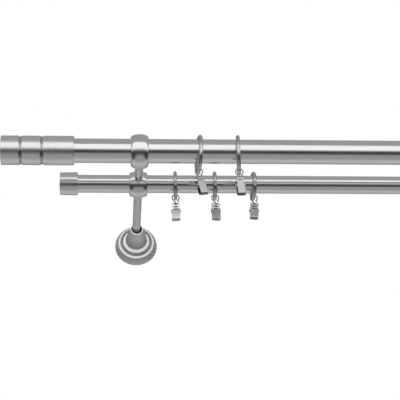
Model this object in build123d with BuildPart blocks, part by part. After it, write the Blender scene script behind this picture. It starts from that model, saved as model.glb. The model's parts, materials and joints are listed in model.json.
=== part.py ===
from build123d import *
import os
from math import asin, cos, degrees, radians, sin

os.makedirs("parts", exist_ok=True)

# A double curtain pole: two steel tubes carried one in front of the other by two wall brackets.
# The origin is the middle of the left wall plate, on the wall. X runs along the poles to the right,
# Y runs into the wall, so the poles stand at negative Y, and Z is up. All sizes are in millimetres.

# Poles
front_pole_radius = 12.5
back_pole_radius = 9.5
pole_wall = 1.0
wall_to_back_pole = 140.0
back_to_front_pole = 66.0
front_pole_length = 1000.0
front_overhang = 66.6
back_overhang = 79.2
wall_to_front_pole = wall_to_back_pole + back_to_front_pole
bracket_span = front_pole_length - 2 * front_overhang

# Finials of the front pole, each plugged into the tube
finial_step = 2.5
finial_radius = front_pole_radius + finial_step
finial_length = 73.6
finial_dome = 0.9
finial_edge = 0.5
finial_first_groove = 33.0
finial_groove_pitch = 21.5
finial_grooves = 2
groove_width = 4.0
groove_depth = 1.2
plug_length = 22.0
plug_clearance = 0.05

# End caps of the back pole
cap_length = 19.0
cap_floor = 4.0
cap_wall = 2.85
cap_taper = 0.4
cap_inner_radius = back_pole_radius + cap_wall
cap_outer_radius = cap_inner_radius - cap_taper
cap_edge = 0.5
cap_clearance = 0.05

# Barrel-shaped holders that the poles pass through
front_holder_wall = 5.5
front_holder_radius = front_pole_radius + front_holder_wall
front_holder_width = 18.0
back_holder_wall = 4.6
back_holder_radius = back_pole_radius + back_holder_wall
back_holder_width = 19.0
holder_band_half = 2.0
holder_crown = 0.4
holder_crown_inset = 4.4
holder_shoulder = 1.05
holder_shoulder_inset = 2.6
holder_corner = 2.55
holder_corner_inset = 0.7
holder_side = 4.1
holder_clearance = 0.1

# Arm rods between the wall plate and the holders
arm_radius = 4.4
arm_seat_depth = 1.3
arm_clearance = 0.05
spigot_radius = 3.0
spigot_gap = 0.3

# Grub screws
grub_radius = 2.5
grub_angle = 45.0
grub_sink = 0.4
hex_radius = 1.45
hex_depth = 1.8
plate_grub_radius = 2.0

# Wall plates
plate_radius = 20.0
plate_thickness = 3.5
boss_radius = 7.5
boss_height = 12.0
boss_floor = 3.0
screw_hole_radius = 2.25
screw_head_radius = 4.25
screw_spacing = 28.0

# Stepped rosette covers, loose on the arm rods and hanging on them
cover_radius = 23.85
cover_rim = 2.5
cover_middle = 6.5
cover_middle_radius = 22.9
cover_shoulder = 9.0
cover_shoulder_radius = 20.8
cover_step = 11.9
cover_step_radius = 18.1
cover_ledge = 12.4
cover_ledge_radius = 15.4
cover_neck = 16.2
cover_neck_radius = 12.1
cover_waist = 30.0
cover_waist_radius = 10.0
cover_height = 43.0
cover_mouth_radius = 7.0
cover_sheet = 0.9
cover_hang_gap = 0.3
cover_side_shift = 0.3

# Rings
ring_wire_radius = 2.0
front_ring_room = 4.4
front_ring_radius = front_pole_radius + front_ring_room + ring_wire_radius
back_ring_room = 2.15
back_ring_radius = back_pole_radius + back_ring_room + ring_wire_radius
wire_flat_count = 12
hang_gap = 0.2

# Wire hooks that join the rings to the clips
hook_wire_radius = 0.6
hook_wire_flat_count = 8
hook_loop_radius = 3.75
hook_throat = 1.9
hook_leg_drop = hook_loop_radius + hook_throat
hook_shank = 1.35
hook_drop = hook_leg_drop + hook_shank
hook_bend = 1.2
hook_tail_bend = 0.9
hook_tail_in = 1.9
hook_tail_in_rise = 2.15
hook_tail_out = 3.4
hook_tail_out_rise = 0.65
hook_head_radius = 1.0
hook_head_height = 0.6
hook_head_gap = 0.4

# Clips: a plate with a folded tab, a hinged jaw, the pin between them and a leaf spring
clip_sheet = 0.6
clip_height = 20.2
clip_width = 7.5
jaw_width = 9.0
clip_back_face = 2.4
jaw_front_face = 2.7
jaw_top = 1.9
jaw_flare = 0.6
jaw_flare_end = 7.9
tab_front = 1.7
tab_bend = 0.5
claw_drop = 18.4
claw_bend = 0.6
claw_gap = 0.35
tab_hole_radius = 1.0
pin_drop = 9.2
pin_radius = 0.8
pin_clearance = 0.05
pin_head_radius = 1.35
pin_head_height = 0.7
pin_head_gap = 0.15
clip_ear_radius = 2.0
jaw_ear_radius = 2.7
tooth_pitch = 1.5
tooth_depth = 0.7
clip_teeth = 5
jaw_teeth = 6
notch_width = 2.9
notch_bottom = 2.6
window_width = 5.3
upper_window_top = 3.3
upper_window_height = 1.6
lower_window_top = 6.1
lower_window_height = 1.2
panel_top = 8.2
panel_height = 9.2
panel_depth = 0.25
panel_width = 4.6
waist_drop = 6.0
waist_radius = 1.6
waist_depth = 0.5
clip_taper = 0.4
clip_taper_start = 5.6
clip_slot_top = 3.0
clip_slot_height = 0.8
spring_sheet = 0.35
spring_width = 4.6
spring_pin_gap = 0.2
spring_back_gap = 0.05
spring_jaw_gap = 0.35
spring_top = 2.6


def write(piece, label):
    """Names a finished piece and writes it to its own file."""
    piece.part.label = label
    export_step(piece.part, f"parts/{label}.step")


def pole_profile_plane(depth):
    """Upright plane along the poles at a distance from the wall, with x along the pole and y up."""
    return Plane.XZ.offset(depth)


def pole_axis(depth):
    """Centre line of a pole."""
    return Axis((0, -depth, 0), (1, 0, 0))


def wall_plane(x, height, distance):
    """Plane parallel to the wall and facing the room, centred on a bracket part."""
    return Plane(origin=(x, -distance, height), x_dir=(1, 0, 0), z_dir=(0, -1, 0))


def out_from_wall(x, height):
    """Upright plane square to the wall, with x as the distance from the wall and y up."""
    return Plane(origin=(x, 0, height), x_dir=(0, -1, 0), z_dir=(-1, 0, 0))


def make_pole(label, radius, depth, start, end):
    """A drawn tube."""
    with BuildPart() as pole:
        with BuildSketch(Plane.YZ.offset(start)):
            with Locations((-depth, 0)):
                Circle(radius)
                Circle(radius - pole_wall, mode=Mode.SUBTRACT)
        extrude(amount=end - start)
    write(pole, label)


def make_finial(label, pole_end, outward):
    """A turned finial with V grooves, a slightly domed end and a plug that fits in the tube."""
    plug_radius = front_pole_radius - pole_wall - plug_clearance

    def at(distance, radius):
        return (pole_end + outward * distance, radius)

    with BuildPart() as finial:
        with BuildSketch(pole_profile_plane(wall_to_front_pole)):
            with BuildLine():
                Polyline(
                    at(finial_length + finial_dome, 0),
                    at(-plug_length, 0),
                    at(-plug_length, plug_radius),
                    at(0, plug_radius),
                    at(0, finial_radius - finial_edge),
                    at(finial_edge, finial_radius),
                    at(finial_length - finial_edge, finial_radius),
                    at(finial_length, finial_radius - finial_edge),
                )
                TangentArc(
                    at(finial_length + finial_dome, 0),
                    at(finial_length, finial_radius - finial_edge),
                    tangent=(0, 1),
                )
            make_face()
            for groove in range(finial_grooves):
                middle = finial_first_groove + groove * finial_groove_pitch
                with BuildLine():
                    Polyline(
                        at(middle - groove_width / 2, finial_radius),
                        at(middle, finial_radius - groove_depth),
                        at(middle + groove_width / 2, finial_radius),
                        close=True,
                    )
                make_face(mode=Mode.SUBTRACT)
        revolve(axis=pole_axis(wall_to_front_pole))
    write(finial, label)


def make_cap(label, pole_end, outward):
    """A short tapered cap that slides over the end of the back tube."""
    bore = back_pole_radius + cap_clearance
    mouth = -(cap_length - cap_floor)

    def at(distance, radius):
        return (pole_end + outward * distance, radius)

    with BuildPart() as cap:
        with BuildSketch(pole_profile_plane(wall_to_back_pole)):
            with BuildLine():
                Polyline(
                    at(0, 0),
                    at(0, bore),
                    at(mouth, bore),
                    at(mouth, cap_inner_radius - cap_edge),
                    at(mouth + cap_edge, cap_inner_radius),
                    at(cap_floor - cap_edge, cap_outer_radius),
                    at(cap_floor, cap_outer_radius - cap_edge),
                    at(cap_floor, 0),
                    close=True,
                )
            make_face()
        revolve(axis=pole_axis(wall_to_back_pole))
    write(cap, label)


def grub_plane(x, depth, start):
    """Plane square to a holder's grub screw, which points at the pole from below and behind."""
    way = (0, sin(radians(grub_angle)), -cos(radians(grub_angle)))
    place = (x, -depth + start * way[1], start * way[2])
    return Plane(origin=place, x_dir=(1, 0, 0), z_dir=way)


def make_holder(label, x, depth, pole_radius, radius, width, seats):
    """A barrel-shaped ring with a seat for each arm rod and a threaded hole for its grub screw."""
    bore = pole_radius + holder_clearance
    edge = width / 2
    with BuildPart() as holder:
        with BuildSketch(pole_profile_plane(depth)):
            with BuildLine():
                half = [
                    (holder_band_half, radius),
                    (edge - holder_crown_inset, radius - holder_crown),
                    (edge - holder_shoulder_inset, radius - holder_shoulder),
                    (edge - holder_corner_inset, radius - holder_corner),
                    (edge, radius - holder_side),
                    (edge, bore),
                ]
                outline = half + [(-out, height) for out, height in reversed(half)]
                Polyline([(x + out, height) for out, height in outline], close=True)
            make_face()
        revolve(axis=pole_axis(depth))
        for side in seats:
            seat = depth + side * (radius - arm_seat_depth)
            with BuildSketch(wall_plane(x, 0, seat)):
                Circle(arm_radius + arm_clearance)
            extrude(amount=side * 2 * arm_seat_depth, mode=Mode.SUBTRACT)
            with BuildSketch(wall_plane(x, 0, seat)):
                Circle(spigot_radius)
            extrude(amount=-side * (radius - arm_seat_depth - bore / 2), mode=Mode.SUBTRACT)
        with BuildSketch(grub_plane(x, depth, bore / 2)):
            Circle(grub_radius)
        extrude(amount=radius, mode=Mode.SUBTRACT)
    write(holder, label)


def add_grub_screw(plane, radius, length):
    """A socket screw inside the part that is being built, with its tip on the plane."""
    with BuildSketch(plane) as body:
        Circle(radius)
    extrude(body.sketch, amount=length)
    with BuildSketch(plane.offset(length - hex_depth)) as socket:
        RegularPolygon(hex_radius * radius / grub_radius, 6)
    extrude(socket.sketch, amount=hex_depth, mode=Mode.SUBTRACT)


def make_grub_screws(label, x):
    """The three grub screws of one bracket, as separate solids."""
    with BuildPart() as screws:
        for depth, pole_radius, radius in (
            (wall_to_front_pole, front_pole_radius, front_holder_radius),
            (wall_to_back_pole, back_pole_radius, back_holder_radius),
        ):
            add_grub_screw(grub_plane(x, depth, pole_radius), grub_radius, radius - pole_radius - grub_sink)
        tip = Plane(
            origin=(x, -(boss_height + boss_floor) / 2, -arm_radius),
            x_dir=(1, 0, 0),
            z_dir=(0, 0, -1),
        )
        add_grub_screw(tip, plate_grub_radius, boss_radius - arm_radius - grub_sink)
    write(screws, label)


def make_arm(label, x, start, end, start_spigot, end_spigot):
    """A round arm rod square to the wall, with a threaded spigot at each end that enters a holder."""
    with BuildPart() as arm:
        with BuildSketch(wall_plane(x, 0, start)):
            Circle(arm_radius)
        extrude(amount=end - start)
        for place, length in ((start, -start_spigot), (end, end_spigot)):
            if length:
                with BuildSketch(wall_plane(x, 0, place)):
                    Circle(spigot_radius)
                extrude(amount=length)
    write(arm, label)


def make_wall_plate(label, x):
    """A round plate with two screw holes and a boss that takes the arm rod and its grub screw."""
    with BuildPart() as plate:
        with BuildSketch(wall_plane(x, 0, 0)):
            Circle(plate_radius)
        extrude(amount=plate_thickness)
        with BuildSketch(wall_plane(x, 0, 0)):
            Circle(boss_radius)
        extrude(amount=boss_height)
        with BuildSketch(wall_plane(x, 0, boss_floor)):
            Circle(arm_radius + arm_clearance)
        extrude(amount=boss_height, mode=Mode.SUBTRACT)
        with Locations(wall_plane(x, 0, plate_thickness)):
            with GridLocations(0, screw_spacing, 1, 2):
                CounterSinkHole(screw_hole_radius, screw_head_radius)
        middle = (boss_height + boss_floor) / 2
        with BuildSketch(Plane(origin=(x, -middle, 0), x_dir=(1, 0, 0), z_dir=(0, 0, -1))):
            Circle(plate_grub_radius)
        extrude(amount=2 * boss_radius, mode=Mode.SUBTRACT)
    write(plate, label)


def make_cover(label, x):
    """A spun rosette cover: a rim, two bright steps and a domed neck that hangs on the arm rod."""
    mouth_bore = cover_mouth_radius - cover_sheet
    height = -(mouth_bore - arm_radius - cover_hang_gap)
    place = x + cover_side_shift
    with BuildPart() as cover:
        with BuildSketch(out_from_wall(place, height)):
            with BuildLine():
                Polyline(
                    (0, cover_radius),
                    (cover_rim, cover_radius),
                    (cover_middle, cover_middle_radius),
                    (cover_shoulder, cover_shoulder_radius),
                    (cover_step, cover_step_radius),
                    (cover_ledge, cover_ledge_radius),
                    (cover_neck, cover_neck_radius),
                    (cover_waist, cover_waist_radius),
                    (cover_height, cover_mouth_radius),
                )
                offset(amount=cover_sheet, kind=Kind.INTERSECTION, side=Side.RIGHT)
            make_face()
        revolve(axis=Axis((place, 0, height), (0, 1, 0)))
    write(cover, label)


def make_ring(label, centre, radius, axis):
    """A curtain ring, its round wire drawn with narrow flats."""
    level = Vector(-axis.Y, axis.X, 0)
    with BuildPart() as ring:
        with BuildSketch(Plane(origin=centre, x_dir=axis.cross(level), z_dir=level)):
            with Locations((radius, 0)):
                RegularPolygon(ring_wire_radius, wire_flat_count)
        revolve(axis=Axis(centre, axis))
    write(ring, label)


def make_hook(label, loop_centre):
    """A wire hook: a loop round the ring, an open tail and a shank with a riveted head."""
    touch = asin(hook_loop_radius / hook_leg_drop)
    shank_end = hook_drop + clip_sheet + hook_head_gap
    left = (-hook_loop_radius * cos(touch), -hook_loop_radius * sin(touch))
    right = (-left[0], left[1])
    face = Plane(origin=loop_centre, x_dir=(1, 0, 0), z_dir=(0, -1, 0))
    with BuildPart() as hook:
        with BuildLine(face) as wire:
            FilletPolyline(
                (hook_tail_out, hook_tail_out_rise - hook_leg_drop),
                (hook_tail_in, hook_tail_in_rise - hook_leg_drop),
                right,
                radius=hook_tail_bend,
            )
            CenterArc((0, 0), hook_loop_radius, -degrees(touch), 180 + 2 * degrees(touch))
            FilletPolyline(left, (0, -hook_leg_drop), (0, -shank_end), radius=hook_bend)
        shank = Plane(
            origin=face.from_local_coords((0, -shank_end, 0)),
            x_dir=(1, 0, 0),
            z_dir=(0, 0, 1),
        )
        with BuildSketch(shank):
            RegularPolygon(hook_wire_radius, hook_wire_flat_count)
        sweep(path=wire.line)
        with BuildSketch(shank):
            Circle(hook_head_radius)
        extrude(amount=-hook_head_height)
    write(hook, label)


def across(frame, x):
    """Plane seen from a clip's side: its x runs from the jaw to the clip plate and its y is up."""
    return Plane(origin=frame.from_local_coords((x, 0, 0)), x_dir=frame.y_dir, z_dir=frame.x_dir)


def facing(frame, y):
    """Plane parallel to a clip's faces, looking at the jaw: its x runs along the width and its y is up."""
    return Plane(origin=frame.from_local_coords((0, y, 0)), x_dir=frame.x_dir, z_dir=-frame.y_dir)


def add_ears(frame, face_side, plate_face, outside, radius, hole_radius):
    """Two rounded ears, folded from the edges of a clip plate to the pin, with the pin's holes."""
    for start in (-outside, outside - clip_sheet):
        with BuildSketch(across(frame, start)) as ear:
            with Locations((0, -pin_drop)):
                Circle(radius)
            with Locations((face_side * plate_face / 2, -pin_drop)):
                Rectangle(plate_face, 2 * radius)
        extrude(ear.sketch, amount=clip_sheet)
    with BuildSketch(across(frame, -outside)) as hole:
        with Locations((0, -pin_drop)):
            Circle(hole_radius)
    extrude(hole.sketch, amount=2 * outside, mode=Mode.SUBTRACT)


def cut_teeth(frame, face_side, count):
    """Saw teeth along the bottom edge of a clip plate."""
    with BuildSketch(facing(frame, 0)) as gaps:
        with Locations((0, -clip_height - tooth_depth / 2)):
            with GridLocations(tooth_pitch, 0, count, 1):
                RegularPolygon(tooth_depth, 4)
    extrude(gaps.sketch, amount=-face_side * jaw_front_face, mode=Mode.SUBTRACT, both=True)


def make_clip(label, frame):
    """The clip's plate: a tab with the hook's hole, a slotted back, two ears and a toothed claw."""
    with BuildPart() as clip:
        with BuildSketch(across(frame, -clip_width / 2)):
            with BuildLine():
                inside = clip_back_face - clip_sheet
                FilletPolyline(
                    (-tab_front, -clip_sheet),
                    (inside, -clip_sheet),
                    (inside, -clip_taper_start),
                    (inside - clip_taper, -claw_drop),
                    (claw_gap / 2, -clip_height),
                    radius=[tab_bend, 0.0, claw_bend],
                )
                offset(amount=clip_sheet, side=Side.LEFT)
            make_face()
        extrude(amount=clip_width)
        with BuildSketch(frame):
            Circle(tab_hole_radius)
        extrude(amount=-2 * clip_sheet, mode=Mode.SUBTRACT)
        with BuildSketch(facing(frame, clip_back_face)):
            with Locations((0, -clip_slot_top - clip_slot_height / 2)):
                Rectangle(window_width, clip_slot_height)
        extrude(amount=clip_sheet, mode=Mode.SUBTRACT)
        add_ears(frame, 1, clip_back_face - clip_sheet / 2, clip_width / 2, clip_ear_radius, pin_radius)
        cut_teeth(frame, 1, clip_teeth)
    write(clip, label)


def make_jaw(label, frame):
    """The hinged jaw: a flared plate with a notch, windows and a pressed panel, ears and a toothed claw."""
    outermost = facing(frame, -jaw_front_face - jaw_flare)
    through = -(jaw_flare + clip_sheet)
    with BuildPart() as jaw:
        with BuildSketch(across(frame, -jaw_width / 2)):
            with BuildLine():
                inside = jaw_front_face - clip_sheet
                FilletPolyline(
                    (-inside - jaw_flare, -jaw_top),
                    (-inside, -jaw_flare_end),
                    (-inside, -claw_drop),
                    (-claw_gap / 2, -clip_height),
                    radius=[0.0, claw_bend],
                )
                offset(amount=clip_sheet, side=Side.RIGHT)
            make_face()
        extrude(amount=jaw_width)
        add_ears(
            frame,
            -1,
            jaw_front_face - clip_sheet / 2,
            jaw_width / 2,
            jaw_ear_radius,
            pin_radius + pin_clearance,
        )
        for width, top, height in (
            (notch_width, 0, notch_bottom),
            (window_width, upper_window_top, upper_window_height),
            (window_width, lower_window_top, lower_window_height),
        ):
            with BuildSketch(outermost):
                with Locations((0, -top - height / 2)):
                    Rectangle(width, height)
            extrude(amount=through, mode=Mode.SUBTRACT)
        with BuildSketch(outermost):
            with GridLocations(jaw_width - 2 * waist_depth + 2 * waist_radius, 0, 2, 1):
                with Locations((0, -waist_drop)):
                    Circle(waist_radius)
        extrude(amount=through, mode=Mode.SUBTRACT)
        with BuildSketch(facing(frame, -jaw_front_face)):
            with Locations((0, -panel_top - panel_height / 2)):
                Rectangle(panel_width, panel_height)
        extrude(amount=-panel_depth, mode=Mode.SUBTRACT)
        cut_teeth(frame, -1, jaw_teeth)
    write(jaw, label)


def make_pin(label, frame):
    """The hinge pin with a domed head at each end."""
    shoulder = jaw_width / 2 + pin_head_gap
    with BuildPart() as pin:
        with BuildSketch(facing(frame, 0)):
            with BuildLine():
                half = [
                    (shoulder, pin_radius),
                    (shoulder, pin_head_radius),
                    (shoulder + pin_head_height / 2, pin_head_radius),
                    (shoulder + pin_head_height, pin_head_radius / 2),
                    (shoulder + pin_head_height, 0),
                ]
                outline = half + [(-x, y) for x, y in reversed(half)]
                Polyline([(x, y - pin_drop) for x, y in outline], close=True)
            make_face()
        revolve(axis=Axis(frame.from_local_coords((0, 0, -pin_drop)), frame.x_dir))
    write(pin, label)


def make_spring(label, frame):
    """A leaf spring bent round the pin, which holds the upper ends apart and the claws together."""
    back = clip_back_face - clip_sheet - spring_back_gap
    flare = jaw_flare * (jaw_flare_end - spring_top) / (jaw_flare_end - jaw_top)
    front = -(jaw_front_face + flare - clip_sheet - spring_jaw_gap)
    bend = pin_radius + spring_pin_gap + spring_sheet
    with BuildPart() as spring:
        with BuildSketch(across(frame, -spring_width / 2)):
            with BuildLine():
                Line((back, -spring_top), (bend, -pin_drop))
                ThreePointArc((bend, -pin_drop), (0, -pin_drop - bend), (-bend, -pin_drop))
                Line((-bend, -pin_drop), (front, -spring_top))
                offset(amount=spring_sheet, side=Side.RIGHT)
            make_face()
        extrude(amount=spring_width)
    write(spring, label)


def clip_frame(top, turn, tilt, lean):
    """A clip's own frame: turned about the shank, foot tilted to +X and leant towards the clip plate."""
    t = radians(turn)
    s = radians(tilt)
    wide = Vector(cos(t) * cos(s), sin(t), cos(t) * sin(s))
    upright = Vector(-sin(s), 0, cos(s))
    plate_side = upright.cross(wide)
    up = upright * cos(radians(lean)) - plate_side * sin(radians(lean))
    return Plane(origin=top, x_dir=wide, z_dir=up)


def ring_set_places(pole_radius, ring_radius, depth, x, ring_turn, ring_lean, clip_turns):
    """Where one ring, its hook and its clip stand: ring centre and axis, loop centre, clip frame."""
    turn = radians(ring_turn)
    lean = radians(ring_lean)
    ring_drop = (ring_radius - ring_wire_radius) * cos(lean) - pole_radius - hang_gap
    loop_drop = hook_loop_radius - hook_wire_radius - ring_wire_radius - hang_gap
    centre = Vector(x, -depth, -ring_drop)
    axis = Vector(cos(turn) * cos(lean), sin(turn) * cos(lean), -sin(lean))
    down = Vector(-cos(turn) * sin(lean), -sin(turn) * sin(lean), -cos(lean))
    loop = centre + down * ring_radius - Vector(0, 0, loop_drop)
    top = loop - Vector(0, 0, hook_drop)
    return centre, axis, loop, clip_frame(top, *clip_turns)


# Each ring set: its place along the pole, the turn and lean of its ring,
# and the turn, tilt and lean of its clip
front_sets = [
    (60.4, 4.5, 1.4, (196.0, 13.5, 0.0)),
    (101.1, -5.0, 0.0, (184.0, 4.5, 0.0)),
]
back_sets = [
    (39.4, -2.6, 0.0, (-4.0, 0.0, 4.0)),
    (81.5, -2.2, 0.0, (9.0, 0.0, 0.0)),
    (122.7, 3.1, 0.0, (0.0, -4.0, -6.0)),
]

# Tubes with their finials and caps
front_start = -front_overhang
front_end = bracket_span + front_overhang
back_start = -back_overhang
back_end = bracket_span + back_overhang
make_pole("front_pole", front_pole_radius, wall_to_front_pole, front_start, front_end)
make_pole("back_pole", back_pole_radius, wall_to_back_pole, back_start, back_end)
make_finial("finial_left", front_start, -1)
make_finial("finial_right", front_end, 1)
make_cap("end_cap_left", back_start, -1)
make_cap("end_cap_right", back_end, 1)

# Brackets
back_seat = back_holder_radius - arm_seat_depth
front_seat = front_holder_radius - arm_seat_depth
back_spigot = back_seat - back_pole_radius - holder_clearance - spigot_gap
front_spigot = front_seat - front_pole_radius - holder_clearance - spigot_gap
for side, bracket_x in (("left", 0.0), ("right", bracket_span)):
    make_wall_plate(f"wall_plate_{side}", bracket_x)
    make_cover(f"rosette_cover_{side}", bracket_x)
    make_arm(f"rear_arm_{side}", bracket_x, boss_floor, wall_to_back_pole - back_seat, 0, back_spigot)
    make_arm(
        f"front_arm_{side}",
        bracket_x,
        wall_to_back_pole + back_seat,
        wall_to_front_pole - front_seat,
        back_spigot,
        front_spigot,
    )
    make_holder(
        f"back_holder_{side}",
        bracket_x,
        wall_to_back_pole,
        back_pole_radius,
        back_holder_radius,
        back_holder_width,
        (-1, 1),
    )
    make_holder(
        f"front_holder_{side}",
        bracket_x,
        wall_to_front_pole,
        front_pole_radius,
        front_holder_radius,
        front_holder_width,
        (-1,),
    )
    make_grub_screws(f"grub_screws_{side}", bracket_x)

# Rings with their hooks and clips
for pole_name, sets, pole_radius, ring_radius, depth in (
    ("front", front_sets, front_pole_radius, front_ring_radius, wall_to_front_pole),
    ("back", back_sets, back_pole_radius, back_ring_radius, wall_to_back_pole),
):
    for number, place in enumerate(sets, start=1):
        centre, axis, loop, frame = ring_set_places(pole_radius, ring_radius, depth, *place)
        make_ring(f"{pole_name}_ring_{number}", centre, ring_radius, axis)
        make_hook(f"{pole_name}_hook_{number}", loop)
        make_clip(f"{pole_name}_clip_{number}", frame)
        make_jaw(f"{pole_name}_jaw_{number}", frame)
        make_pin(f"{pole_name}_pin_{number}", frame)
        make_spring(f"{pole_name}_spring_{number}", frame)
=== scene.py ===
import json
from math import asin, cos, pi, radians, sin, tan

import bmesh
import bpy
from bpy.props import FloatProperty, FloatVectorProperty, IntProperty, PointerProperty
from mathutils import Matrix, Vector


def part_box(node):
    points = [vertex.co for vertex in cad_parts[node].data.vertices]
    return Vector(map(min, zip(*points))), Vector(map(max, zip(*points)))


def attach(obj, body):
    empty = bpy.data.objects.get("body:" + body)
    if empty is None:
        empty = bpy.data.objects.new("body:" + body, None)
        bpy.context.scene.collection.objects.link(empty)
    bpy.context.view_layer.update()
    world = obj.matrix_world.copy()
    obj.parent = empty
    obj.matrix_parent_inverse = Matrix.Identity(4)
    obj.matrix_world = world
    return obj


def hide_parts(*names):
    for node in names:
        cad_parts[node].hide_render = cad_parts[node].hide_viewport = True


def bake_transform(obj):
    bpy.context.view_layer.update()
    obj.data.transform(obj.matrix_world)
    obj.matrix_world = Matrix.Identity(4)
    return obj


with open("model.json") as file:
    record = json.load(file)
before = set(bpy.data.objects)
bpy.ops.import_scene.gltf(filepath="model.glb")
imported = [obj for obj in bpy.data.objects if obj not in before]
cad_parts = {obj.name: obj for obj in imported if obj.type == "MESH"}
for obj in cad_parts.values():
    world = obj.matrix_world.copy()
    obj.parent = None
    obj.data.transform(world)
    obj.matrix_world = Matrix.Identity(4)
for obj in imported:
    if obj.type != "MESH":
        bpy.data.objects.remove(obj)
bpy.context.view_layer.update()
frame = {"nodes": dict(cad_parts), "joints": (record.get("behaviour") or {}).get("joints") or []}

bl_info = {
    "name": "Double curtain pole",
    "version": (1, 0, 0),
    "blender": (4, 5, 0),
    "location": "3D View > Sidebar > Curtain pole",
    "description": "Finishes a double curtain pole with rings, hooks and clips around its packed frame",
    "category": "Add Mesh",
}

MM = 0.001
FRAME_BODY = "pole_frame"
SIDES = ("left", "right")
X_AXIS = Vector((1, 0, 0))
Y_AXIS = Vector((0, 1, 0))
Z_AXIS = Vector((0, 0, 1))
JOINTS = {joint["name"]: joint for joint in frame["joints"]}
SETS = sorted(name.replace("_ring_", "_") for name in frame["nodes"] if "_ring_" in name)

WHITE = (1, 1, 1, 1)
# Painted shade: the front clips, which hang turned round, get darker copies of the bright nickel.
CLIP_SHADES = {"front_1": 0.82, "front_2": 0.68}

# Angles in degrees: faces that meet flatter than the first are joined, and edges sharper than the others are
# rounded on stamped pieces and shaded sharp on all. Points nearer than the weld are joined.
FLAT_ANGLE = 2
ROUNDED_ANGLE = 35
SHARP_ANGLE = 40
WELD = 0.002 * MM

# Turned and bent pieces: the steps of a rounded corner and the most of a side that it takes, the radius below
# which a point is on the axis, and the steps round wires, loops, crowns and domes.
ARC_STEPS = 6
ARC_SHARE = 0.48
ON_AXIS = 1e-7
WIRE_SIDES = 28
HOOK_SIDES = 20
HOOK_STEPS = 48
HOLDER_STEPS = 40
DOME_STEPS = 8

# A grub screw hole's length.
DRILL_LENGTH = 30 * MM

# A point on an end cap's dome: how much of the dome's rise it lacks, and its share of the cap's radius.
CAP_DOME = (0.2, 0.5)

# Grain of the plated metals: the fine grain's share, the coarse grain's scale beside the fine one's, the
# range of noise that shows, how dark the grain goes and how much of that is used, and the relief's depth.
FINE_SHARE = 0.7
COARSE_SCALE = 0.17
GRAIN_RANGE = (0.38, 0.66)
GRAIN_DARKER = 0.86
GRAIN_TONE = 0.55
RELIEF = 0.02 * MM

# How far a brushed grain is drawn out along its piece, and how slowly a turned grain changes round its piece.
GRAIN_SQUEEZE = 0.02
SLOW_TURN = (0.05, 0.05, 0.05)

# Handling marks, and the painted shade in the grooves of a finial.
MARK_SCALE = 38.0
MARK_RANGE = (0.42, 0.72)
GROOVE_SHADE_GREY = (0.12, 0.12, 0.12, 1)
GROOVE_SHADE_TONE = 0.42

# Tones of the spun cover, as shares of the way to its darker grey: the whole cover, what the flat between
# the steps and the neck's foot add, what the neck takes off, and the steps and the lip. These are painted
# light and shade: painted shade on the flat and at the neck's foot, a lighter neck, and paler steps and lip
# as painted highlights. The cover is also less metallic, and its steps and lip less still.
COVER_DARKER = 0.3
COVER_TONE = 0.68
FLAT_SHADE_TONE = 0.32
FOOT_SHADE_TONE = 0.42
NECK_LIGHT_TONE = 0.12
STEP_HIGHLIGHT_TONE = 0.05
COVER_METALLIC = 0.6
STEP_METALLIC = 0.5

# The cover's roughness, the scales of its grain and marks, and the width over which its tones change.
COVER_ROUGHNESS = 0.38
COVER_GRAIN = 2400.0
COVER_MARKS = 90.0
COVER_BLUR = 0.25 * MM

# Where the painted shade at the neck's foot begins to fade and where it has gone, as shares of the cover's
# height.
FOOT_SHADE_FADE = (0.36, 0.8)

# The spun cover's outside in millimetres, as distance from the wall, radius and rounding, and the radii of
# its two steps, which are painted paler as highlights.
COVER_OUTLINE = (
    (0, 23.85, 0.2),
    (2.5, 23.85, 1.0),
    (6.2, 23.0, 6.0),
    (9.0, 20.8, 0.5),
    (11.9, 18.1, 0.5),
    (12.4, 15.4, 0.5),
    (16.2, 12.1, 0.5),
    (22.0, 11.3, 9.0),
    (31.0, 9.7, 14.0),
    (43.0, 7.0, 0.4),
)
COVER_STEPS = ((12.1, 14.9), (18.1, 20.2))

# Inside the cover: how far the sheet's slope shifts it along, as a share of the thickness, the point where
# the lip starts to roll in, as distance, rise and rounding, and the rounding of the lip's edge.
COVER_SHIFT = 0.6
COVER_ROLL = (41.0, 0.4, 1.5)
COVER_LIP_EDGE = 0.3

# A hook's tail in millimetres, as places across and above its loop's middle with their rounding, and its
# riveted head, as distance down and share of its radius.
HOOK_TAIL = ((3.4, -5.0, 0), (1.9, -3.5, 0.9))
HOOK_HEAD = ((0, 0), (0, 0.8), (0.15, 1), (0.4, 1), (0.6, 0.7), (0.6, 0))

# Depths on a jaw below the clip's tab in millimetres, as in its solid and as shown, the half width that they
# hold for, where the jaw's flared upper end stops, and its slopes, as in its solid and as shown.
WINDOW_DEPTHS = ((1.9, 1.9), (3.3, 4.9), (4.9, 6.2), (6.1, 7.3), (7.3, 8.4), (8.2, 9.3), (17.4, 17.4))
WINDOW_REACH = 3.05
FLARE_END = 7.9
JAW_FLARE = (0.1, 0.2)

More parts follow.
